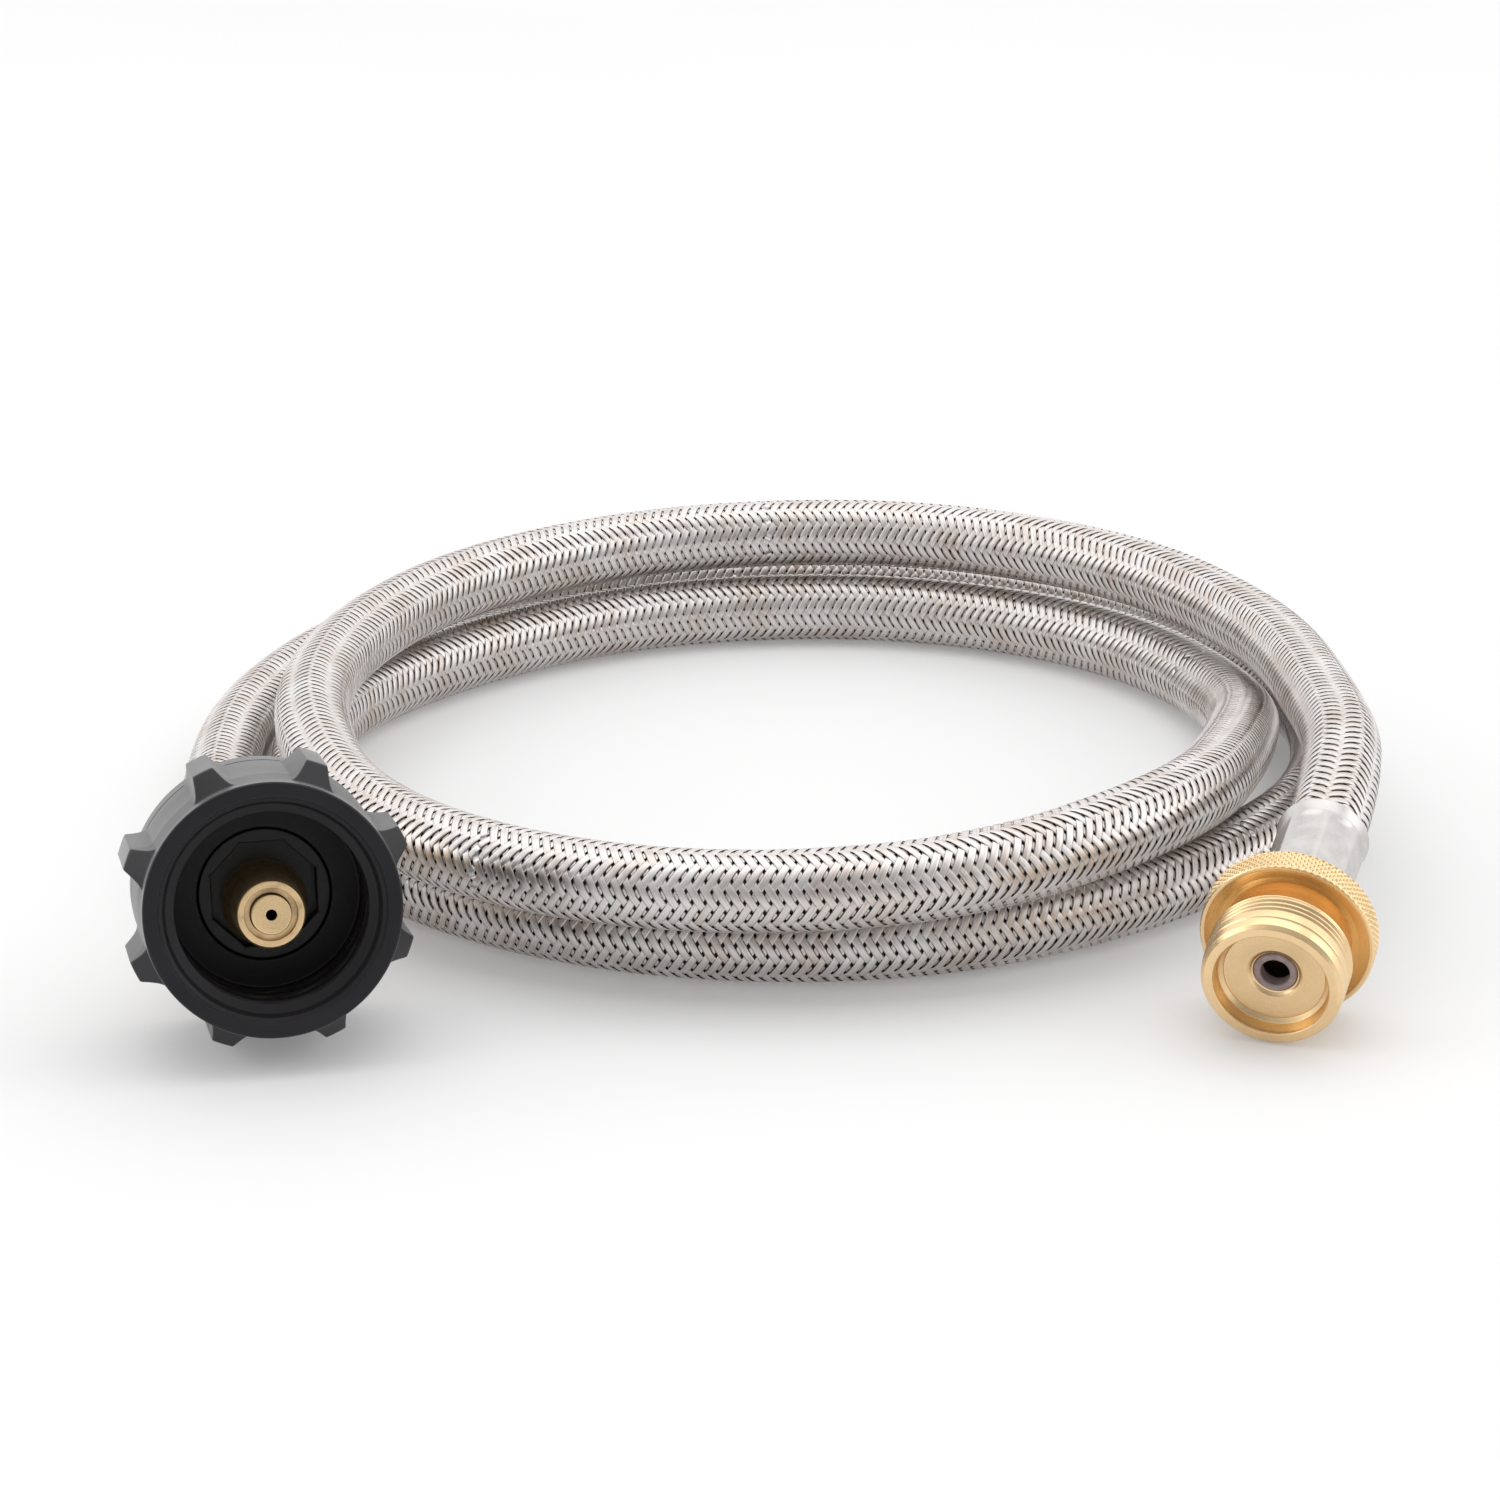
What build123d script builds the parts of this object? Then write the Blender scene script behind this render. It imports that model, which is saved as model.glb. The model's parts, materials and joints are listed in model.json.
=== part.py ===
from build123d import *
import math
import os

# Braided adapter hose for propane: a Type 1 hand nut and its nipple on one end, a 1 in - 20 male
# swivel fitting on the other, and about 1.8 m of steel-braided hose coiled loosely between them.
# Millimetres, +Z up, on the surface at z = 0. The origin is under the middle of the two fittings.

os.makedirs("parts", exist_ok=True)

# ---- hose ----
HOSE_RADIUS = 7.5
BRAID_WALL = 0.8
LINER_BORE_RADIUS = 3.2
LINER_RADIUS = HOSE_RADIUS - BRAID_WALL
LAYER_GAP = 0.05
FLOOR_Z = HOSE_RADIUS + 0.1
INLET_LEAD = 23.0
OUTLET_LEAD = 26.0
CORNER_SHARE = 0.45

# The coil is seen from above and runs clockwise. Its bearing starts at the left (-X) and grows
# through the back (+Y); one station stands every STEP degrees.
COIL_CENTRE = (5.0, 110.4)
FIRST_BEARING = -15
STEP = 30
FIRST_TURN_RADII = (116, 117, 126, 129, 128, 125, 120, 112, 103, 104, 103, 101)
SECOND_TURN_RADII = (99, 101, 98, 103, 108, 109, 102, 94, 107, 115, 115, 110)
LAST_TURN_RADII = (98, 95, 100, 108, 113, 111, 107, 111)
# The first turn and half of the second lie on the floor; the rest climbs and lies on top of them.
TURNS_ON_FLOOR = 17
CLIMB_HEIGHTS = (8, 9, 18, 25, 22.5, 21, 21.5, 24, 23.5, 23.5, 23.5, 24, 25, 25.5, 28)

# ---- inlet: hand nut, nipple and crimp, measured back from the nut's open rim ----
# The nut leans back on two of its lobes, and the nipple hangs low in its wide bore by NUT_OFFSET.
NUT_MOUTH = (-82.0, -28.7, 29.1)
INLET_HEADING = -12.2
INLET_RISE = -11.0
NUT_OFFSET = 1.6
NUT_FRONT_RING_RADIUS = 22.2
NUT_BODY_RADIUS = 22.6
NUT_LOBE_RADIUS = 25.8
NUT_LOBES = 8
NUT_LOBE_PHASE = -23.2
NUT_LOBE_FRONT = 5.2
NUT_LOBE_BACK = 24.0
NUT_LENGTH = 30.0
NUT_THREAD_RADIUS = 16.65
NUT_MOUTH_RADIUS = 19.3
NUT_THREAD_END = 17.0
NUT_RECESS_RADIUS = 11.7
NUT_RECESS_END = 22.2
NUT_REAR_BORE_RADIUS = 9.3
NOSE_TIP = 5.5
NOSE_RADIUS = 6.0
CHAMBER_RADIUS = 4.6
CHAMBER_END = 19.0
GAS_RADIUS = 3.0
SHANK_START = 17.0
BUSHING_FRONT = 17.2
BUSHING_BACK = 21.0
BUSHING_FLOOR = 20.0
BUSHING_FLATS = 18.3
SHANK_RADIUS = 7.4
SHANK_END = 34.5
NIPPLE_HEX_FLATS = 19.0
NIPPLE_END = 41.0
SOCKET_RADIUS = 5.0
INLET_CRIMP_FRONT = 43.5
INLET_CRIMP_END = 64.0

# ---- outlet: male thread, collar, swivel and crimp, measured back from the open face ----
OUTLET_MOUTH = (89.1, -21.4, 12.2)
OUTLET_HEADING = 18.2
OUTLET_RISE = 13.1
THREAD_RADIUS = 12.7
THREAD_START = 0.8
THREAD_END = 9.5
NECK_RADIUS = 11.2
COLLAR_RADIUS = 15.6
COLLAR_FRONT = 14.0
COLLAR_BACK = 19.5
OUTLET_BODY_END = 21.5
SEAT_RADIUS = 9.0
SWIVEL_RADIUS = 5.6
SWIVEL_FRONT = 12.0
OUTLET_CRIMP_FRONT = 26.5
OUTLET_CRIMP_END = 48.0

# ---- crimp, barb and fits ----
FERRULE_RADIUS = 8.15
FERRULE_FLAT_DISTANCE = 7.9
FERRULE_LIP = 1.0
FERRULE_FLATS = 8
BARB_RADIUS = 3.2
BARB_ROOT_RADIUS = 2.85
BARB_PITCH = 3.5
BARB_STEP = 0.6
BARB_BORE_RADIUS = 2.0
NECK_OF_BARB_RADIUS = 4.0
RUNNING_CLEARANCE = 0.08


class FittingEnd:
    """One end of the hose: a frame at the fitting's open face, with z running back to the hose."""

    def __init__(self, mouth, heading, rise):
        turn = math.radians(heading)
        lift = math.radians(rise)
        back = (
            math.sin(turn) * math.cos(lift),
            math.cos(turn) * math.cos(lift),
            math.sin(lift),
        )
        self.plane = Plane(origin=mouth, x_dir=(math.cos(turn), -math.sin(turn), 0), z_dir=back)
        self.section = Plane(origin=mouth, x_dir=self.plane.x_dir, z_dir=-self.plane.y_dir)
        self.axis = Axis(mouth, back)

    def at(self, distance):
        return self.plane.origin + self.plane.z_dir * distance


NUT = FittingEnd(NUT_MOUTH, INLET_HEADING, INLET_RISE)
INLET = FittingEnd(tuple(NUT.plane.origin + NUT.plane.y_dir * NUT_OFFSET), INLET_HEADING, INLET_RISE)
OUTLET = FittingEnd(OUTLET_MOUTH, OUTLET_HEADING, OUTLET_RISE)


def half_section(end, outline):
    """The face inside an outline of (radius, distance back from the open face) points."""
    with BuildSketch(end.section) as sketch:
        with BuildLine():
            Polyline(*outline, close=True)
        make_face()
    return sketch.sketch


def ring_section(end, ring_radius, wire_radius, distance):
    """The round section of an O-ring or a wire ring."""
    with BuildSketch(end.section) as sketch:
        with Locations((ring_radius, distance)):
            Circle(wire_radius)
    return sketch.sketch


def barb_outline(start, end, gap_radius):
    """A hose tail with sawtooth barbs from start to end, down to its own bore."""
    outline = [(BARB_BORE_RADIUS, start), (gap_radius, start)]
    ridges = int((end - start - 2) / BARB_PITCH)
    for ridge in range(ridges):
        foot = start + 1.2 + ridge * BARB_PITCH
        outline += [(BARB_RADIUS, foot), (BARB_ROOT_RADIUS, foot + BARB_PITCH - BARB_STEP)]
    outline += [(BARB_RADIUS - 0.5, end), (BARB_BORE_RADIUS, end)]
    return outline


def save(piece, name):
    piece.part.label = name
    export_step(piece.part, f"parts/{name}.step")


# ---- hand nut: eight-lobed plastic shell with a threaded socket and a wide rear bore ----
nut_shell = [
    (NUT_MOUTH_RADIUS, 0),
    (NUT_FRONT_RING_RADIUS - 0.8, 0),
    (NUT_FRONT_RING_RADIUS, 0.8),
    (NUT_FRONT_RING_RADIUS, NUT_LOBE_FRONT),
    (NUT_BODY_RADIUS, NUT_LOBE_FRONT + 0.6),
    (NUT_BODY_RADIUS, NUT_LENGTH - 0.8),
    (NUT_BODY_RADIUS - 0.8, NUT_LENGTH),
    (NUT_REAR_BORE_RADIUS, NUT_LENGTH),
    (NUT_REAR_BORE_RADIUS, NUT_RECESS_END),
    (NUT_RECESS_RADIUS, NUT_RECESS_END),
    (NUT_RECESS_RADIUS, NUT_THREAD_END),
    (NUT_THREAD_RADIUS, NUT_THREAD_END),
    (NUT_THREAD_RADIUS, 3.0),
    (NUT_MOUTH_RADIUS - 0.4, 0.8),
]
lobe_rise = NUT_LOBE_RADIUS - NUT_BODY_RADIUS
LOBE_ROOT = -3.0
LOBE_ROOT_HALF_WIDTH = 4.8
LOBE_CREST_HALF_WIDTH = 2.0
with BuildPart() as hand_nut:
    revolve(half_section(NUT, nut_shell), axis=NUT.axis)
    with BuildSketch(NUT.plane.offset(NUT_LOBE_FRONT)):
        with PolarLocations(NUT_BODY_RADIUS, NUT_LOBES, start_angle=NUT_LOBE_PHASE, rotate=True):
            Polygon(
                (LOBE_ROOT, -LOBE_ROOT_HALF_WIDTH),
                (lobe_rise, -LOBE_CREST_HALF_WIDTH),
                (lobe_rise, LOBE_CREST_HALF_WIDTH),
                (LOBE_ROOT, LOBE_ROOT_HALF_WIDTH),
                align=None,
            )
    extrude(amount=NUT_LOBE_BACK - NUT_LOBE_FRONT)
save(hand_nut, "hand_nut")

# ---- slip washer that slides on the shank with the nut, behind the bushing ----
with BuildPart() as nut_washer:
    with BuildSketch(NUT.plane.offset(BUSHING_BACK + 0.1)):
        Circle(NUT_RECESS_RADIUS - 0.2)
        Circle(NUT_REAR_BORE_RADIUS, mode=Mode.SUBTRACT)
    extrude(amount=1.0)
save(nut_washer, "nut_washer")

# ---- heat-sensitive bushing: a cup with an octagonal mouth, fixed round the nipple's shank ----
with BuildPart() as thermal_bushing:
    with BuildSketch(NUT.plane.offset(BUSHING_FRONT)):
        Circle(NUT_RECESS_RADIUS - 0.2)
        RegularPolygon(
            BUSHING_FLATS / 2, 8, major_radius=False, rotation=22.5, mode=Mode.SUBTRACT
        )
    extrude(amount=BUSHING_FLOOR - BUSHING_FRONT)
    with BuildSketch(NUT.plane.offset(BUSHING_FLOOR)):
        Circle(NUT_RECESS_RADIUS - 0.2)
        with Locations((0, NUT_OFFSET)):
            Circle(SHANK_RADIUS, mode=Mode.SUBTRACT)
    extrude(amount=BUSHING_BACK - BUSHING_FLOOR)
save(thermal_bushing, "thermal_bushing")

# ---- nipple: rounded nose, shank for the nut and a spanner hexagon ----
with BuildPart() as inlet_nipple:
    nipple_outline = [
        (CHAMBER_RADIUS, NOSE_TIP),
        (NOSE_RADIUS - 0.9, NOSE_TIP),
        (NOSE_RADIUS - 0.2, NOSE_TIP + 0.3),
        (NOSE_RADIUS, NOSE_TIP + 1.0),
        (NOSE_RADIUS, 14.0),
        (SHANK_RADIUS, SHANK_START),
        (SHANK_RADIUS, NIPPLE_END),
        (SOCKET_RADIUS, NIPPLE_END),
        (SOCKET_RADIUS, 35.0),
        (GAS_RADIUS, 35.0),
        (GAS_RADIUS, CHAMBER_END),
        (CHAMBER_RADIUS, CHAMBER_END),
    ]
    revolve(half_section(INLET, nipple_outline), axis=INLET.axis)
    with BuildSketch(INLET.plane.offset(SHANK_END)):
        RegularPolygon(NIPPLE_HEX_FLATS / 2, 6, major_radius=False)
        Circle(SHANK_RADIUS - 0.5, mode=Mode.SUBTRACT)
    extrude(amount=NIPPLE_END - SHANK_END)
save(inlet_nipple, "inlet_nipple")

# ---- excess-flow valve inside the nose: poppet, its O-ring, spring and retaining ring ----
POPPET_COLLAR_FRONT = 8.1
POPPET_COLLAR_BACK = 9.8
POPPET_TAIL = 17.0
POPPET_STEM_RADIUS = 1.9
with BuildPart() as flow_poppet:
    poppet_outline = [
        (1.0, 4.9),
        (3.1, 4.9),
        (3.5, 5.3),
        (3.5, POPPET_COLLAR_FRONT),
        (CHAMBER_RADIUS - RUNNING_CLEARANCE, POPPET_COLLAR_FRONT),
        (CHAMBER_RADIUS - RUNNING_CLEARANCE, POPPET_COLLAR_BACK),
        (POPPET_STEM_RADIUS, POPPET_COLLAR_BACK),
        (POPPET_STEM_RADIUS, 14.8),
        (2.6, 14.8),
        (2.6, 15.3),
        (POPPET_STEM_RADIUS, 15.3),
        (POPPET_STEM_RADIUS, 16.5),
        (2.6, 16.5),
        (2.6, POPPET_TAIL),
        (1.0, POPPET_TAIL),
    ]
    revolve(half_section(INLET, poppet_outline), axis=INLET.axis)
save(flow_poppet, "flow_poppet")

with BuildPart() as poppet_seal:
    revolve(ring_section(INLET, 2.52, 0.58, 15.9), axis=INLET.axis)
save(poppet_seal, "poppet_seal")

SPRING_RADIUS = 3.75
SPRING_WIRE_RADIUS = 0.35
SPRING_COILS = 6
SPRING_FRONT = POPPET_COLLAR_BACK + SPRING_WIRE_RADIUS + 0.1
SPRING_LENGTH = CHAMBER_END - SPRING_WIRE_RADIUS - 0.1 - SPRING_FRONT
with BuildPart() as poppet_spring:
    with BuildLine():
        coil = Helix(
            pitch=SPRING_LENGTH / SPRING_COILS,
            height=SPRING_LENGTH,
            radius=SPRING_RADIUS,
            center=INLET.at(SPRING_FRONT),
            direction=INLET.plane.z_dir,
        )
    with BuildSketch(Plane(origin=coil @ 0, x_dir=INLET.plane.z_dir, z_dir=coil % 0)):
        Circle(SPRING_WIRE_RADIUS)
    sweep()
save(poppet_spring, "poppet_spring")

with BuildPart() as poppet_retainer:
    with BuildSketch(INLET.plane.offset(6.6)):
        Circle(CHAMBER_RADIUS)
        Circle(3.65, mode=Mode.SUBTRACT)
    extrude(amount=1.4)
save(poppet_retainer, "poppet_retainer")

# ---- inlet hose tail, its sealing washer and the crimped ferrule ----
with BuildPart() as inlet_stem:
    flange_front = NIPPLE_END + 1.0
    tail = barb_outline(INLET_CRIMP_FRONT + FERRULE_LIP, INLET_CRIMP_END - 2, NECK_OF_BARB_RADIUS)
    stem_outline = [
        (BARB_BORE_RADIUS, 35.6),
        (SOCKET_RADIUS - 0.5, 35.6),
        (SOCKET_RADIUS, 36.1),
        (SOCKET_RADIUS, flange_front),
        (FERRULE_RADIUS - 0.2, flange_front),
        (FERRULE_RADIUS, flange_front + 0.2),
        (FERRULE_RADIUS, INLET_CRIMP_FRONT),
        (NECK_OF_BARB_RADIUS, INLET_CRIMP_FRONT),
    ] + tail[2:]
    revolve(half_section(INLET, stem_outline), axis=INLET.axis)
save(inlet_stem, "inlet_stem")

with BuildPart() as stem_washer:
    with BuildSketch(INLET.plane.offset(NIPPLE_END)):
        Circle(7.9)
        Circle(SOCKET_RADIUS, mode=Mode.SUBTRACT)
    extrude(amount=1.0)
save(stem_washer, "stem_washer")


def ferrule_outline(front, back):
    """A sleeve with a lip at its front that hooks behind the stem's flange."""
    return [
        (NECK_OF_BARB_RADIUS, front),
        (FERRULE_RADIUS - 0.3, front),
        (FERRULE_RADIUS, front + 0.3),
        (FERRULE_RADIUS, back),
        (HOSE_RADIUS, back),
        (HOSE_RADIUS, front + FERRULE_LIP),
        (NECK_OF_BARB_RADIUS, front + FERRULE_LIP),
    ]


CRIMP_MARGIN = 3.5
with BuildPart() as ferrule_inlet:
    revolve(
        half_section(INLET, ferrule_outline(INLET_CRIMP_FRONT, INLET_CRIMP_END)),
        axis=INLET.axis,
    )
    with BuildSketch(INLET.plane.offset(INLET_CRIMP_FRONT + CRIMP_MARGIN)):
        Circle(FERRULE_RADIUS + 1)
        RegularPolygon(FERRULE_FLAT_DISTANCE, FERRULE_FLATS, major_radius=False, mode=Mode.SUBTRACT)
    extrude(amount=INLET_CRIMP_END - INLET_CRIMP_FRONT - 2 * CRIMP_MARGIN, mode=Mode.SUBTRACT)
save(ferrule_inlet, "ferrule_inlet")

# ---- outlet body: 1 in - 20 male thread, neck, dished collar and the swivel's socket ----
with BuildPart() as outlet_body:
    body_outline = [
        (10.25, 0),
        (11.9, 0),
        (THREAD_RADIUS, THREAD_START),
        (THREAD_RADIUS, THREAD_END),
        (NECK_RADIUS, THREAD_END + 0.7),
        (NECK_RADIUS, COLLAR_FRONT + 2),
        (COLLAR_RADIUS - 0.9, COLLAR_FRONT),
        (COLLAR_RADIUS - 0.3, COLLAR_FRONT),
        (COLLAR_RADIUS, COLLAR_FRONT + 0.3),
        (COLLAR_RADIUS, COLLAR_BACK - 0.4),
        (COLLAR_RADIUS - 0.4, COLLAR_BACK),
        (9.5, COLLAR_BACK),
        (9.5, OUTLET_BODY_END),
        (SWIVEL_RADIUS, OUTLET_BODY_END),
        (SWIVEL_RADIUS, 18.0),
        (6.3, 18.0),
        (6.3, 16.8),
        (SWIVEL_RADIUS, 16.8),
        (SWIVEL_RADIUS, SWIVEL_FRONT),
        (2.8, SWIVEL_FRONT),
        (2.8, 6.5),
        (SEAT_RADIUS, 6.5),
        (SEAT_RADIUS, 3.2),
        (9.9, 2.6),
        (10.25, 0.5),
    ]
    revolve(half_section(OUTLET, body_outline), axis=OUTLET.axis)
save(outlet_body, "outlet_body")

# ---- dished seat disc pressed into the outlet, and the rubber grommet it holds ----
GROMMET_RADIUS = 3.9
GROMMET_BORE_RADIUS = 2.6
with BuildPart() as seat_disc:
    disc_outline = [
        (4.6, 3.7),
        (SEAT_RADIUS, 3.3),
        (SEAT_RADIUS, 6.5),
        (GROMMET_RADIUS, 6.5),
        (GROMMET_RADIUS, 4.6),
        (4.6, 4.6),
    ]
    revolve(half_section(OUTLET, disc_outline), axis=OUTLET.axis)
save(seat_disc, "seat_disc")

with BuildPart() as seal_grommet:
    grommet_outline = [
        (GROMMET_BORE_RADIUS, 4.3),
        (GROMMET_BORE_RADIUS + 0.3, 4.0),
        (GROMMET_RADIUS - 0.3, 4.0),
        (GROMMET_RADIUS, 4.3),
        (GROMMET_RADIUS, 6.5),
        (GROMMET_BORE_RADIUS, 6.5),
    ]
    revolve(half_section(OUTLET, grommet_outline), axis=OUTLET.axis)
save(seal_grommet, "seal_grommet")

# ---- outlet stem: swivel spigot with two O-ring grooves and a clip groove, then the hose tail ----
SPIGOT_RADIUS = SWIVEL_RADIUS - RUNNING_CLEARANCE
SEAL_GROOVES = (13.2, 15.1)
SEAL_GROOVE_WIDTH = 1.3
SEAL_GROOVE_RADIUS = 4.35
CLIP_GROOVE = (16.9, 17.9)
with BuildPart() as outlet_stem:
    spigot = [(BARB_BORE_RADIUS, 12.3), (SPIGOT_RADIUS - 0.4, 12.3), (SPIGOT_RADIUS, 12.7)]
    for groove in SEAL_GROOVES:
        spigot += [
            (SPIGOT_RADIUS, groove),
            (SEAL_GROOVE_RADIUS, groove),
            (SEAL_GROOVE_RADIUS, groove + SEAL_GROOVE_WIDTH),
            (SPIGOT_RADIUS, groove + SEAL_GROOVE_WIDTH),
        ]
    spigot += [
        (SPIGOT_RADIUS, CLIP_GROOVE[0]),
        (5.1, CLIP_GROOVE[0]),
        (5.1, CLIP_GROOVE[1]),
        (SPIGOT_RADIUS, CLIP_GROOVE[1]),
        (SPIGOT_RADIUS, 24.0),
        (FERRULE_RADIUS - 0.2, 24.0),
        (FERRULE_RADIUS, 24.2),
        (FERRULE_RADIUS, OUTLET_CRIMP_FRONT),
        (NECK_OF_BARB_RADIUS, OUTLET_CRIMP_FRONT),
    ]
    tail = barb_outline(OUTLET_CRIMP_FRONT + FERRULE_LIP, OUTLET_CRIMP_END - 2, NECK_OF_BARB_RADIUS)
    revolve(half_section(OUTLET, spigot + tail[2:]), axis=OUTLET.axis)
save(outlet_stem, "outlet_stem")

with BuildPart() as swivel_seals:
    for groove in SEAL_GROOVES:
        revolve(
            ring_section(OUTLET, 4.96, 0.58, groove + SEAL_GROOVE_WIDTH / 2),
            axis=OUTLET.axis,
        )
save(swivel_seals, "swivel_seals")

CLIP_OPENING_DEGREES = 36
with BuildPart() as swivel_clip:
    revolve(
        ring_section(OUTLET, 5.62, 0.42, (CLIP_GROOVE[0] + CLIP_GROOVE[1]) / 2),
        axis=OUTLET.axis,
        revolution_arc=360 - CLIP_OPENING_DEGREES,
    )
save(swivel_clip, "swivel_clip")

with BuildPart() as thrust_washer:
    with BuildSketch(OUTLET.plane.offset(OUTLET_BODY_END + 0.2)):
        Circle(8.6)
        Circle(SPIGOT_RADIUS + RUNNING_CLEARANCE, mode=Mode.SUBTRACT)
    extrude(amount=2.1)
save(thrust_washer, "thrust_washer")

with BuildPart() as ferrule_outlet:
    revolve(
        half_section(OUTLET, ferrule_outline(OUTLET_CRIMP_FRONT, OUTLET_CRIMP_END)),
        axis=OUTLET.axis,
    )
    with BuildSketch(OUTLET.plane.offset(OUTLET_CRIMP_FRONT + CRIMP_MARGIN)):
        Circle(FERRULE_RADIUS + 1)
        RegularPolygon(FERRULE_FLAT_DISTANCE, FERRULE_FLATS, major_radius=False, mode=Mode.SUBTRACT)
    extrude(amount=OUTLET_CRIMP_END - OUTLET_CRIMP_FRONT - 2 * CRIMP_MARGIN, mode=Mode.SUBTRACT)
save(ferrule_outlet, "ferrule_outlet")


# ---- hose route: straight out of each crimp, and the coil's stations between them ----
def coil_stations():
    radii = FIRST_TURN_RADII + SECOND_TURN_RADII + LAST_TURN_RADII
    heights = (FLOOR_Z,) * TURNS_ON_FLOOR + CLIMB_HEIGHTS
    stations = []
    for index, (radius, height) in enumerate(zip(radii, heights)):
        bearing = math.radians(FIRST_BEARING + STEP * index)
        x = COIL_CENTRE[0] - radius * math.cos(bearing)
        y = COIL_CENTRE[1] + radius * math.sin(bearing)
        stations.append(Vector(x, y, height))
    return stations


def corner_radii(points):
    """As large an arc at each corner as its two runs allow."""
    radii = []
    for before, corner, after in zip(points, points[1:], points[2:]):
        run_in = corner - before
        run_out = after - corner
        half_turn = math.radians(run_in.get_angle(run_out)) / 2
        shorter = min(run_in.length, run_out.length)
        radii.append(CORNER_SHARE * shorter / math.tan(half_turn))
    return radii


route = (
    [INLET.at(INLET_CRIMP_END), INLET.at(INLET_CRIMP_END + INLET_LEAD)]
    + coil_stations()
    + [OUTLET.at(OUTLET_CRIMP_END + OUTLET_LEAD), OUTLET.at(OUTLET_CRIMP_END)]
)
bends = corner_radii(route)
inlet_tail = INLET.at(INLET_CRIMP_FRONT + FERRULE_LIP)
outlet_tail = OUTLET.at(OUTLET_CRIMP_FRONT + FERRULE_LIP)
with BuildLine() as hose_line:
    Line(inlet_tail, route[0])
    FilletPolyline(*route, radius=bends)
    Line(route[-1], outlet_tail)
hose_path = hose_line.wires()[0]


def hose_layer(outer, inner):
    """One layer of the hose: a tube along the route with a straight tail inside each ferrule."""
    with BuildPart() as layer:
        with BuildSketch(Plane(origin=hose_path @ 0, z_dir=hose_path % 0)):
            Circle(outer)
            Circle(inner, mode=Mode.SUBTRACT)
        sweep(path=hose_path)
    return layer


hose_liner = hose_layer(LINER_RADIUS, LINER_BORE_RADIUS)
save(hose_liner, "hose_liner")

hose_braid = hose_layer(HOSE_RADIUS, LINER_RADIUS + LAYER_GAP)
save(hose_braid, "hose_braid")

tails = (inlet_tail - route[0]).length + (outlet_tail - route[-1]).length
braid_section = math.pi * (HOSE_RADIUS**2 - (LINER_RADIUS + LAYER_GAP) ** 2)
print("bend radii", [round(bend, 1) for bend in bends])
print("hose length between the crimps", round(hose_path.length - tails, 1))
print("braid volume", round(hose_braid.part.volume), "from its length", round(braid_section * hose_path.length))
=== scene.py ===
import json
import math

import bpy
import numpy as np
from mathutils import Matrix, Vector


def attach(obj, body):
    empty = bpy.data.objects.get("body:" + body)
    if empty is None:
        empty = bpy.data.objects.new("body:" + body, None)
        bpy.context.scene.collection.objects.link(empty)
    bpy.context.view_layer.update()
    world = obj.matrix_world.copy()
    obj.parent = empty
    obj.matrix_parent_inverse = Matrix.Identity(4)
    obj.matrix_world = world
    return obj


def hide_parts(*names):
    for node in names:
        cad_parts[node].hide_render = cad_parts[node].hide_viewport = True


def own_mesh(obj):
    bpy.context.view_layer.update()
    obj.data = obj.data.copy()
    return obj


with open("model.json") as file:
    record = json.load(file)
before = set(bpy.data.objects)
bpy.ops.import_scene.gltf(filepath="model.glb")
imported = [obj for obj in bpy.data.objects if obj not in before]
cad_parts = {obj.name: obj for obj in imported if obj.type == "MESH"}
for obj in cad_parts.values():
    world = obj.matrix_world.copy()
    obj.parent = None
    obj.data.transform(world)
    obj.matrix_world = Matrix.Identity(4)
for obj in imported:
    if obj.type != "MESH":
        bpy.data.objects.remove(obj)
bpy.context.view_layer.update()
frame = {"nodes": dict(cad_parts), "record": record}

MM = 0.001
TAU = 2 * math.pi
rng = np.random.default_rng(11)


# ---- frames of the two ends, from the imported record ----
class End:
    """A fitting's frame: the origin at its open face, z running back to the hose, y down."""

    def __init__(self, mouth, back):
        self.mouth = np.array(mouth, float)
        self.z = np.array(back, float) / np.linalg.norm(back)
        self.x = np.array([self.z[1], -self.z[0], 0.0])
        self.x /= np.linalg.norm(self.x)
        self.y = np.cross(self.z, self.x)

    def at(self, distance):
        return self.mouth + self.z * distance * MM

    def place(self, local):
        return self.mouth + (local * MM) @ np.array([self.x, self.y, self.z])

    def turn(self, local):
        return local @ np.array([self.x, self.y, self.z])

    def to_local(self, place):
        return (np.array(place) - self.mouth) @ np.array([self.x, self.y, self.z]).T / MM


MOUNTS = {mount["name"]: mount for mount in frame["record"]["mounts"]}
NUT_OFFSET = 1.6  # the nipple hangs this far below the nut's axis
THREAD_MOUNT_DEPTH = 5.0
nut_back = -np.array(MOUNTS["inlet_nut"]["axis"])
outlet_back = -np.array(MOUNTS["outlet_thread"]["axis"])
NUT = End(MOUNTS["inlet_nut"]["pos_m"], nut_back)
INLET = End(NUT.mouth + NUT.y * NUT_OFFSET * MM, nut_back)
thread_middle = np.array(MOUNTS["outlet_thread"]["pos_m"])
OUTLET = End(thread_middle - outlet_back * THREAD_MOUNT_DEPTH * MM, outlet_back)

# ---- camera, fitted to the photograph's viewing angle ----
CAMERA_PLACE = (-0.0010, -0.6656, 0.2832)
CAMERA_DIP = math.radians(19.46)
camera_data = bpy.data.cameras.new("camera")
camera_data.lens = 96.7
camera_data.sensor_width = 36.0
camera = bpy.data.objects.new("camera", camera_data)
camera.location = CAMERA_PLACE
camera.rotation_euler = (math.pi / 2 - CAMERA_DIP, 0, 0)
bpy.context.scene.collection.objects.link(camera)
bpy.context.scene.camera = camera


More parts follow.
